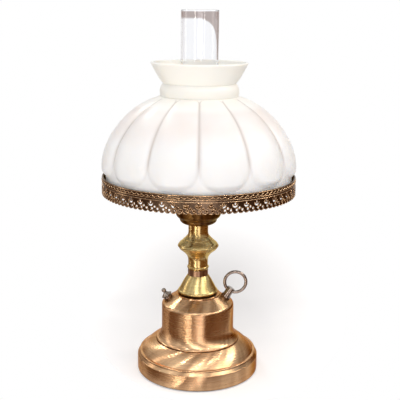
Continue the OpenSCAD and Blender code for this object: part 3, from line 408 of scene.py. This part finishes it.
def frosted_glass():
    """Bulb glass, frosted inside: white, dull and evenly cloudy."""
    material, tree, place = new_material("bulb_glass_frosted")
    spots = add(tree, "TexNoise", {"Vector": place, "Scale": 1 / (1.2 * MM), "Detail": 3.0})[0]
    tone = add(tree, "Mix", {0: spots, 6: srgb("#f6f4ef"), 7: srgb("#ebe8e1")}, data_type="RGBA")[2]
    gloss = add(tree, "MapRange", {"Value": spots, "To Min": 0.3, "To Max": 0.55})[0]
    shader = add(tree, "BsdfPrincipled", {
        "Base Color": tone, "IOR": 1.5, "Roughness": gloss, "Transmission Weight": 0.4,
        "Subsurface Weight": 0.2, "Subsurface Scale": 3 * MM})
    add(tree, "OutputMaterial", {"Surface": shader[0]})
    return material


def dress(material, *names):
    """Gives CAD nodes a material in place of their plain one."""
    for name in names:
        mesh = NODES[name].data
        mesh.materials.clear()
        mesh.materials.append(material)


# Shapes of the glass


def shade_crest(sizes):
    """The outline over the lobes' crests, from the fitter's rim to the collar's: radius and height in metres.
    After the straight fitter come four cubic curves: to the greatest radius, over the body, round the neck
    roll and up the collar. The middle two points of each are its handles."""
    fitter = np.column_stack((np.full(6, sizes.fitter_r), np.linspace(0, sizes.fitter_h, 6)))
    low = bezier((sizes.fitter_r, sizes.fitter_h), (sizes.fitter_r + 0.4 * MM, sizes.fitter_h + 6 * MM),
                 (sizes.wide_r, sizes.wide_z - 5 * MM), (sizes.wide_r, sizes.wide_z), 22)
    body = bezier((sizes.wide_r, sizes.wide_z), (sizes.wide_r + 0.5 * MM, sizes.wide_z + 44 * MM),
                  (sizes.wide_r - 39 * MM, sizes.groove_z - 9.5 * MM), (sizes.groove_r, sizes.groove_z), 64)
    roll = bezier((sizes.groove_r, sizes.groove_z), (sizes.groove_r + 2 * MM, sizes.groove_z + 4 * MM),
                  (sizes.groove_r + 2.5 * MM, sizes.neck_z - 5 * MM), (sizes.neck_r, sizes.neck_z), 18)
    collar = bezier((sizes.neck_r, sizes.neck_z), (sizes.neck_r + 4.4 * MM, sizes.neck_z + 3.7 * MM),
                    (sizes.collar_r - 7.2 * MM, sizes.collar_z - 13 * MM),
                    (sizes.collar_r, sizes.collar_z), 24)
    return joined(fitter, low, body, roll, collar)


def smooth(values, low, high):
    """A share that rises from 0 at low to 1 at high with level ends: three squares less two cubes."""
    t = np.clip((values - low) / (high - low), 0, 1)
    return t * t * (3 - 2 * t)


def shade_grid(sizes):
    """The shade's outer and inner faces as one closed grid, with shares for its material.
    Radius is the crest less depth times groove. Across a lobe u runs from 0 on the crest to 1 in the groove,
    and groove is u over half to a power, held to 1. Here half is the lobe's half width: 1 along its sides,
    and the side of a rounded U towards its foot and of a rounded arch towards its head."""
    crest = shade_crest(sizes)
    r, z = crest[:, 0], crest[:, 1]
    power, least_half = 2.6, 0.01
    lobe_columns = 28
    turn = np.linspace(0, 2 * np.pi, lobe_columns * sizes.lobes, endpoint=False)
    u = np.abs((turn + np.pi / 2) * sizes.lobes / np.pi % 2 - 1)
    foot = np.clip(1 - (z - sizes.fitter_h) / sizes.lobe_foot, 0, 1)
    head = np.where(z > sizes.wide_z, np.clip(1 - (r - sizes.groove_r) / sizes.lobe_head, 0, 1), 0)
    half = np.maximum(np.sqrt(1 - foot ** 2) * (1 - head ** power) ** (1 / power), least_half)
    off = u / half[:, None]
    groove = np.minimum(off, 1) ** power
    # The grooves deepen from the fitter to the greatest radius, and rise out again on the way to the neck.
    fade = 1.4 * sizes.lobe_head
    share = np.where(z < sizes.wide_z, (r - sizes.fitter_r) / (sizes.wide_r - sizes.fitter_r),
                     np.minimum((r - sizes.groove_r) / fade, 1))
    share = np.where(z < sizes.groove_z, np.maximum(share, 0), 0)
    depth = sizes.lobe_depth * share[:, None] * groove
    inner = inside_of(crest, sizes.wall)
    rim_h = 0.4 * MM
    rims = [crest[-1] + part * (inner[-1] - crest[-1]) + np.array((0, rim_h)) for part in (0.25, 0.75)]
    profile = np.vstack((crest, rims, inner[::-1]))
    radius = profile[:, :1] - np.vstack((depth, np.zeros((2, turn.size)), depth[::-1]))
    height = profile[:, 1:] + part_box("glass_shade")[0].z + 0 * turn
    points = np.stack((radius * np.cos(turn), radius * np.sin(turn), height), axis=-1)
    # Painted shade: a grey line follows each groove and a rosy band lies on the shoulder under the roll. The
    # neck and collar are cream.
    over_fitter, over_neck, line_half = z - sizes.fitter_h, z - sizes.groove_z, 0.07
    # The painted groove shade fades out over the lower lobes.
    drawn = np.clip(share * 2.5, 0, 1) * smooth(over_fitter, 8 * MM, 44 * MM)
    line = np.exp(-((off - 1) / line_half) ** 2) * drawn[:, None]
    cream = smooth(over_neck, -22 * MM, 4 * MM)[:, None] + 0 * turn
    blush = smooth(over_neck, -62 * MM, -30 * MM) * (1 - smooth(over_neck, -16 * MM, -8 * MM))
    rose_shade = blush[:, None] + 0 * turn
    ends = np.ones((2, turn.size))
    shares = {"groove": np.vstack((line, 0 * ends, 0 * line)), "cream": np.vstack((cream, ends, cream[::-1])),
              "rose_shade": np.vstack((rose_shade, 0 * ends, 0 * rose_shade))}
    return points, shares


# Relief of the gallery


def lace_cords(sizes, low, width):
    """Raised cords of one lace motif, flat, in metres: round the crescent, the drop over it and the three
    holes, and along the two scallops of the lower edge. Each closed cord is a circle, or arcs put end to end.
    Heights are above the lace's lower edge."""
    smile_z, smile_t, smile_out, smile_in = 10.2 * MM, 2.0 * MM, 3.6 * MM, 2.75 * MM
    drop_z, drop_h, drop_r = 11.0 * MM, 1.6 * MM, 1.2 * MM
    low_z, low_off, low_r = 4.2 * MM, 1.75 * MM, 1.75 * MM
    side_z, side_off, side_r = 6.6 * MM, 2.0 * MM, 1.67 * MM
    bump, edge_in = width / 4, 0.35 * MM
    bump_z = 0.94 * bump
    smile = joined(arc((0, smile_z), smile_out, 166, 374, 20),
                   arc((0, smile_z + smile_t), smile_in, 330, 210, 9))
    drop = joined(arc((0, drop_z + drop_h), drop_r, 0, 180, 7), arc((0, drop_z), drop_r, 180, 360, 7))
    below = [arc((at - low_off, low_z), low_r, 0, 330, 12) for at in (-bump, bump)]
    beside = arc((2 * bump - side_off, side_z), side_r, 0, 330, 12)
    closed = [path + np.array((0, low)) for path in (smile, drop, *below, beside)]
    edges = [arc((at, low + bump_z), bump - edge_in, 193, 347, 10) for at in (0, 2 * bump)]
    return gathered(corded(closed, sizes.lace_cord, True) + corded(edges, sizes.lace_cord, False))


def band_scroll(sizes, mid, width):
    """Raised relief of one motif on the band, flat, in metres: a cord along a sine wave of two turns,
    straight cords along the band's two ridges and its rolled edge, and a leaf in each hollow of the wave.
    A leaf is the outer half of a flattened ball, leaning along the wave."""
    wave_h, ridges, rolled_edge = 1.2 * MM, (-5.15 * MM, -2.5 * MM), 3.0 * MM
    leaf_l, leaf_w, leaf_off, leaf_up, lean = 1.4 * MM, 0.8 * MM, 1.1 * MM, 0.9 * MM, 0.3
    along = np.linspace(-width / 2, width / 2, 25)
    wave = np.column_stack((along, mid + wave_h * np.sin(4 * np.pi * along / width)))
    few = along[::12]
    lines = [np.column_stack((few, mid + up + 0 * few)) for up in (*ridges, rolled_edge)]
    shapes = corded([wave, *lines], sizes.scroll, False)
    turn = np.linspace(0, 2 * np.pi, 8, endpoint=False)
    rise = np.radians((0, 35, 65, 85))[:, None]
    for step in range(4):
        at = (step - 1.5) * width / 4
        up = -leaf_up if step % 2 else leaf_up
        across, tall = leaf_l * np.cos(rise) * np.cos(turn), leaf_w * np.cos(rise) * np.sin(turn)
        off = leaf_off * np.sin(rise) + 0 * turn
        leaf = np.stack((at + across, mid + up + tall + lean * across, off), axis=-1)
        shapes.append((leaf.reshape(-1, 3), grid_faces(rise.size, turn.size, close_rows=False)))
    return gathered(shapes)


class LAMP_OT_stage(bpy.types.Operator):
    """Sets the table, the light round the lamp and the camera."""

    bl_idname = "lamp.stage"
    bl_label = "Stage"

    def execute(self, context):
        stage = context.scene.lamp_stage
        context.scene.view_settings.view_transform = "Standard"
        self.table(context)
        self.surround(context, stage)
        self.lamps(context, stage)
        self.camera(context, stage)
        return {"FINISHED"}

    def table(self, context):
        """A pale oval table top. It keeps the lamp's shadow, and fades to white towards its edge."""
        # Sprayed white lacquer, dulled: an even, shadow-catching white.
        material, tree, place = new_material("lacquer_sprayed_white")
        mid, reach = np.array((0.03, 0.36, 0)), np.array((0.23, 0.48, 1))
        offset = add(tree, "VectorMath", {0: place, 1: mid}, operation="SUBTRACT")[0]
        shrunk = add(tree, "VectorMath", {0: offset, 1: 1 / reach}, operation="MULTIPLY")[0]
        away = add(tree, "VectorMath", {0: shrunk}, operation="LENGTH")["Value"]
        glow = add(tree, "MapRange", {"Value": away, "To Min": 0.0, "To Max": 0.36})[0]
        path = add(tree, "LightPath")
        seen = add(tree, "Math", {0: path["Is Camera Ray"], 1: path["Is Transmission Ray"]},
                   operation="MAXIMUM")[0]
        strength = add(tree, "Math", {0: seen, 1: glow}, operation="MULTIPLY")[0]
        clouds = add(tree, "TexNoise", {"Vector": place, "Scale": 1 / (300 * MM)})[0]
        tone = add(tree, "Mix", {0: clouds, 6: srgb("#e6e7ea"), 7: srgb("#e2e3e7")}, data_type="RGBA")[2]
        shader = add(tree, "BsdfPrincipled", {
            "Base Color": tone, "Roughness": 0.9, "Specular IOR Level": 0.0, "Emission Color": (1, 1, 1, 1),
            "Emission Strength": strength})
        add(tree, "OutputMaterial", {"Surface": shader[0]})
        mesh = bpy.data.meshes.new("table")
        corners = 96
        turn = np.linspace(0, 2 * np.pi, corners, endpoint=False)
        edge = mid + reach * np.column_stack((np.cos(turn), np.sin(turn), 0 * turn))
        mesh.from_pydata(edge, [], [range(corners)])
        mesh.materials.append(material)
        table = bpy.data.objects.new("table", mesh)
        context.scene.collection.objects.link(table)

    def surround(self, context, stage):
        """White all round as the camera and glass see it, and a plain, dimmer room that lights the lamp.
        Metal mirrors white behind and overhead, and the brown lower part of the room. Through glass, a taupe
        wall shows behind the lamp, above an edge that is level on the left and falls to the right."""
        world = bpy.data.worlds.new("room")
        context.scene.world = world
        world.use_nodes = True
        tree = world.node_tree
        tree.nodes.clear()
        path = add(tree, "LightPath")
        toward = add(tree, "SeparateXYZ", {0: add(tree, "TexCoord")["Generated"]})
        behind = add(tree, "MapRange", {"Value": toward["Y"], "From Min": 0.8, "From Max": 0.92})[0]
        over = add(tree, "MapRange", {"Value": toward["Z"], "From Min": 0.45, "From Max": 0.65})[0]
        sweep = add(tree, "Math", {0: behind, 1: over}, operation="MAXIMUM")[0]
        mirrored = add(tree, "Math", {0: sweep, 1: path["Is Glossy Ray"]}, operation="MULTIPLY")[0]
        shown = add(tree, "Math", {0: mirrored, 1: path["Is Transmission Ray"]}, operation="MAXIMUM")[0]
        white = add(tree, "Math", {0: path["Is Camera Ray"], 1: shown}, operation="MAXIMUM")[0]
        level_to, fall = 0.004, 0.112
        past = add(tree, "Math", {0: toward["X"], 1: level_to}, operation="SUBTRACT")[0]
        right = add(tree, "Math", {0: past, 1: 0.0}, operation="MAXIMUM")[0]
        slant = add(tree, "Math", {0: right, 1: fall, 2: toward["Z"]}, operation="MULTIPLY_ADD")[0]
        rear = add(tree, "MapRange", {"Value": toward["Y"], "From Min": 0.3, "From Max": 0.5})[0]
        above = add(tree, "MapRange", {"Value": slant, "From Min": -0.004, "From Max": -0.002,
                                       "To Max": rear})[0]
        upper = add(tree, "Math", {0: above, 1: path["Is Transmission Ray"]}, operation="MULTIPLY")[0]
        wall = add(tree, "Mix", {0: upper, 6: (1, 1, 1, 1), 7: srgb("#b3a49f")}, data_type="RGBA")[2]
        below = add(tree, "MapRange", {"Value": toward["Z"], "From Min": 0.35, "From Max": 0.1})[0]
        wooden = add(tree, "Math", {0: below, 1: path["Is Glossy Ray"]}, operation="MULTIPLY")[0]
        walls = add(tree, "Mix", {0: wooden, 6: srgb("#f4f3f2"), 7: srgb("#94602c")}, data_type="RGBA")[2]
        room = add(tree, "Background", {"Color": walls, "Strength": stage.room})[0]
        bright = add(tree, "Background", {"Color": wall, "Strength": 1.0})[0]
        mix = add(tree, "MixShader", {0: white, 1: room, 2: bright})[0]
        add(tree, "OutputWorld", {"Surface": mix})

    def lamps(self, context, stage):
        """Softboxes: a key above the camera, upright strips and small ceiling lamps that streak the metal.
        Each has its name, place, width and height in metres, power in watts and tone."""
        aim = np.array((0, 0, 0.25))
        boxes = [
            ("key", (-0.1, -1.4, 1.5), (0.7, 0.7), 4.4, "#ffffff"),
            ("right_fill", (1.2, -1.0, 1.4), (0.7, 0.7), 4.4, "#fff8ee"),
            ("front_card", (0.22, -1.5, -0.1), (0.42, 1.6), 5.4, "#fff6f4"),
            ("left_strip", (-0.75, -1.3, -0.1), (0.1, 1.6), 6.0, "#fff8ee"),
            ("left_side", (-1.45, 0.2, 0.3), (0.2, 1.4), 2.0, "#fff6ea"),
            ("left_back", (-0.76, 0.84, 1.4), (0.2, 0.2), 3.5, "#fffaf4"),
            ("right_back", (1.2, 0.1, 1.2), (0.4, 0.4), 5.0, "#fff2e2"),
        ]
        ceiling_r, ceiling_z = 1.1, 2.1
        for index, turn in enumerate(np.radians((-100, -45, 10, 45, 80))):
            place = (ceiling_r * math.sin(turn), -ceiling_r * math.cos(turn), ceiling_z)
            boxes.append((f"ceiling_{index}", place, (0.12, 0.12), 2.2, "#fffaf4"))
        for name, place, size, power, tone in boxes:
            light = bpy.data.lights.new(name, "AREA")
            light.shape = "RECTANGLE"
            light.size, light.size_y = size
            light.energy = power * stage.level
            light.color = srgb(tone)[:3]
            lamp = bpy.data.objects.new(name, light)
            context.scene.collection.objects.link(lamp)
            lamp.matrix_world = Matrix.Translation(place) @ self.facing(aim - np.array(place))

    @staticmethod
    def facing(ahead):
        """A turn that carries -Z along ahead and keeps X level."""
        back = -ahead / np.linalg.norm(ahead)
        right = np.cross((0, 0, 1), back)
        right = right / np.linalg.norm(right)
        return Matrix(np.column_stack((right, np.cross(back, right), back)).tolist()).to_4x4()

    def camera(self, context, stage):
        """A camera in front of the lamp, above it and tilted down."""
        camera = bpy.data.cameras.new("camera")
        camera.sensor_fit = "HORIZONTAL"
        camera.sensor_width = 36
        camera.lens = stage.lens
        camera.clip_end = 50
        eye = bpy.data.objects.new("camera", camera)
        context.scene.collection.objects.link(eye)
        eye.matrix_world = (
            Matrix.Translation((0, -stage.camera_away, stage.camera_height))
            @ Matrix.Rotation(stage.camera_yaw, 4, "Z")
            @ Matrix.Rotation(math.pi / 2 - stage.camera_tilt, 4, "X")
            @ Matrix.Rotation(stage.camera_roll, 4, "Z")
        )
        context.scene.camera = eye


class LAMP_OT_metalwork(bpy.types.Operator):
    """Gives the turned, spun and plated pieces their finishes."""

    bl_idname = "lamp.metalwork"
    bl_label = "Metalwork"

    def execute(self, context):
        tones = context.scene.lamp_colours
        # Copper-brass, spun, brushed and lacquered: streaks run down the walls and swirl over the domes.
        copper = turned_metal("copper_brass_brushed", tones.copper, tones.copper_dark,
                              edge="#cc9048", rough=0.25, streak=1.0, toned=0.4, wipes=6.0)
        # Brass, turned, polished and lacquered: crisper streaks, and olive tones where the lacquer has aged.
        brass = turned_metal("brass_turned_polished", tones.brass, tones.brass_dark,
                             edge="#e8d3a0", rough=0.25, streak=0.95, toned=0.45, wipes=5.0)
        # Copper tube, chemically darkened: dull brown with one soft streak.
        spacer = turned_metal("copper_tube_darkened", tones.spacer, tones.spacer_dark,
                              edge="#d8b48c", rough=0.4, streak=0.85, toned=0.8, wipes=5.0)
        # Brass, spun and bronzed: dark and satin.
        bronze = turned_metal("brass_spun_bronzed", tones.bronze, tones.bronze_dark,
                              edge="#e8d3a0", rough=0.36, streak=0.85, toned=0.8, wipes=6.0)
        # Nickel plate, rubbed by fingers: grey with a brown cast, glossy on the rounds.
        nickel = worn_metal("nickel_plate_rubbed", tones.nickel, tones.nickel_dark, 0.2, 1.2 * MM)
        # Brass, pressed and left bright: plain yellow with small tarnish spots.
        bright = worn_metal("brass_pressed_bright", srgb("#c9a25c"), srgb("#94713a"), 0.28, 1.5 * MM)
        # Steel, zinc plated: cool grey with the cloudy spangle of the bath.
        zinc = worn_metal("steel_zinc_plated", srgb("#b9bab8"), srgb("#8f908f"), 0.38, 2.5 * MM)
        # Aluminium, drawn: pale and even, with fine draw marks.
        shell = worn_metal("aluminium_drawn", srgb("#d3d3d1"), srgb("#b0b0ad"), 0.32, 0.8 * MM)
        dress(copper, "base_foot", "font_body")
        dress(brass, "column_bell", "column_baluster")
        dress(spacer, "column_spacer")
        dress(bronze, "burner_cup", "shade_hub", "shade_arms", "shade_ring", "chimney_basket",
              "chimney_prongs")
        dress(nickel, "switch_nut", "switch_knob", "ring_collar", "ring_post", "finger_ring")
        dress(bright, "switch_bushing", "arm_rivets", "socket_cap", "socket_contact", "socket_shell")
        dress(zinc, "bottom_washer", "bottom_nut", "lamp_pipe", "switch_spindle", "ring_post_nut",
              "hub_lock_nut", "socket_screw_shell")
        dress(shell, "bulb_screw_cap")
        return {"FINISHED"}


class LAMP_OT_insulation(bpy.types.Operator):
    """Gives the felt, the cast weight, the insulation and the bulb their materials."""

    bl_idname = "lamp.insulation"
    bl_label = "Felt, weight, insulation and bulb"

    def execute(self, context):
        # Wool felt, pressed: deep green, quite dull, with tufts about 1.5 mm across.
        dress(dull_stuff("wool_felt_pressed", "#2c4a35", "#1d3325", 0.8, 1.5 * MM), "felt_pad")
        # Iron, sand cast: dark grey, with the sand's grain.
        dress(dull_stuff("iron_sand_cast", "#3d3c3a", "#262524", 0.65, 2.0 * MM), "ballast_weight")
        # Nylon, moulded: black with a soft sheen.
        dress(dull_stuff("nylon_moulded_black", "#1f1e1d", "#141313", 0.45, 0.6 * MM),
              "cord_bushing", "socket_core")
        # Phenolic, moulded: brown, mottled by its filler.
        dress(dull_stuff("phenolic_moulded_brown", "#4a2c1c", "#361e12", 0.4, 0.8 * MM), "switch_case_body")
        # Vinyl, extruded: black and smooth.
        dress(dull_stuff("vinyl_extruded_black", "#201f1e", "#161514", 0.5, 0.5 * MM), "switch_leads")
        # Vulcanised fibre paper, rolled: tan and dull, with long fibres.
        dress(dull_stuff("fibre_paper_rolled", "#b89a70", "#a2845b", 0.75, 1.0 * MM), "socket_sleeve")
        dress(frosted_glass(), "bulb_glass")
        return {"FINISHED"}


class LAMP_OT_gallery(bpy.types.Operator):
    """Makes the raised relief on the gallery's lace and band, and gives the gallery its finish."""

    bl_idname = "lamp.gallery"
    bl_label = "Gallery"

    def execute(self, context):
        sizes, tones = context.scene.lamp_gallery, context.scene.lamp_colours
        # Brass, stamped, toned dark and rubbed: brown-black with patina, darker still in the hollows from
        # painted shade, and copper-gold where it stands out.
        toned = worn_metal("brass_stamped_toned", tones.antique, tones.antique_dark, 0.34, 1.8 * MM, 0.5)
        # The same brass on the raised cords and scrolls, which the rubbing leaves brighter.
        rubbed = worn_metal("brass_stamped_rubbed", srgb("#f0cda4"), srgb("#7a5a40"), 0.22, 1.4 * MM, 0.2)
        dress(toned, "gallery_band", "gallery_lace")
        low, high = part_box("gallery_lace")[0].z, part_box("gallery_band")[1].z
        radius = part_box("gallery_lace")[1].x
        width = 2 * math.pi * radius / sizes.motifs
        # The band's ground lies a little inside the lace's face.
        sink = np.array((0, 0, -0.5 * MM))
        band_mid = high - 4.0 * MM
        cords, cord_faces = lace_cords(sizes, low, width)
        scroll, scroll_faces = band_scroll(sizes, band_mid, width)
        reliefs = (("lace_cords", cords, cord_faces), ("band_scroll", scroll + sink, scroll_faces))
        for name, flat, faces in reliefs:
            points, all_faces = repeated(flat, faces, sizes.motifs, width)
            piece(name, wrapped(points, radius), all_faces, "lamp_stand", rubbed)
        return {"FINISHED"}


class LAMP_OT_shade(bpy.types.Operator):
    """Makes the ribbed milk-glass shade."""

    bl_idname = "lamp.shade"
    bl_label = "Glass shade"

    def execute(self, context):
        points, shares = shade_grid(context.scene.lamp_shade)
        material = opal_glass(context.scene.lamp_colours)
        faces = grid_faces(*points.shape[:2])
        shade = piece("milk_glass_shade", points, faces, "shade", material)
        for name, values in shares.items():
            attribute = shade.data.attributes.new(name, "FLOAT", "POINT")
            attribute.data.foreach_set("value", values.ravel().astype(np.float32))
        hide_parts("glass_shade")
        return {"FINISHED"}


class LAMP_OT_chimney(bpy.types.Operator):
    """Makes the clear glass chimney."""

    bl_idname = "lamp.chimney"
    bl_label = "Glass chimney"

    def execute(self, context):
        low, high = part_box("glass_chimney")
        wall = context.scene.lamp_shade.chimney_wall
        lip = wall / 2
        mid = high.x - lip
        # Rows close to the round ends keep the straight wall true between them.
        rows = np.array((low.z + 2 * lip, high.z - 2 * lip))
        outside = np.column_stack((rows * 0 + high.x, rows))
        inside = np.column_stack((rows * 0 + high.x - wall, rows))[::-1]
        outline = joined(arc((mid, low.z + lip), lip, -180, 0, 9), outside,
                         arc((mid, high.z - lip), lip, 0, 180, 9), inside)
        points = revolved(outline, around=160)
        faces = grid_faces(*points.shape[:2])
        chimney = piece("clear_glass_chimney", points, faces, "chimney", clear_glass())
        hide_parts("glass_chimney")
        return {"FINISHED"}


class LAMP_PT_panel(bpy.types.Panel):
    """Lists what makes the lamp."""

    bl_label = "Lamp"
    bl_idname = "LAMP_PT_panel"
    bl_space_type = "VIEW_3D"
    bl_region_type = "UI"
    bl_category = "Lamp"

    def draw(self, context):
        for operator in OPERATORS:
            self.layout.operator(operator.bl_idname)
        for group in GROUPS:
            box = self.layout.box()
            for name in GROUPS[group].__annotations__:
                box.prop(getattr(context.scene, group), name)


GROUPS = {
    "lamp_shade": LampShadeSizes,
    "lamp_gallery": LampGallerySizes,
    "lamp_colours": LampColours,
    "lamp_stage": LampStageSettings,
}
OPERATORS = (
    LAMP_OT_stage, LAMP_OT_metalwork, LAMP_OT_insulation, LAMP_OT_gallery, LAMP_OT_shade, LAMP_OT_chimney,
)


def register():
    """Registers the classes and hangs the property groups on the scene."""
    for group, kind in GROUPS.items():
        bpy.utils.register_class(kind)
        setattr(bpy.types.Scene, group, bpy.props.PointerProperty(type=kind))
    for kind in (*OPERATORS, LAMP_PT_panel):
        bpy.utils.register_class(kind)


def unregister():
    """Takes the classes and property groups away again."""
    for kind in (LAMP_PT_panel, *reversed(OPERATORS)):
        bpy.utils.unregister_class(kind)
    for group, kind in GROUPS.items():
        delattr(bpy.types.Scene, group)
        bpy.utils.unregister_class(kind)


def main():
    """Builds the stage and the lamp's looks."""
    register()
    bpy.ops.lamp.stage()
    bpy.ops.lamp.metalwork()
    bpy.ops.lamp.insulation()
    bpy.ops.lamp.gallery()
    bpy.ops.lamp.shade()
    bpy.ops.lamp.chimney()


if __name__ == "__main__":
    main()
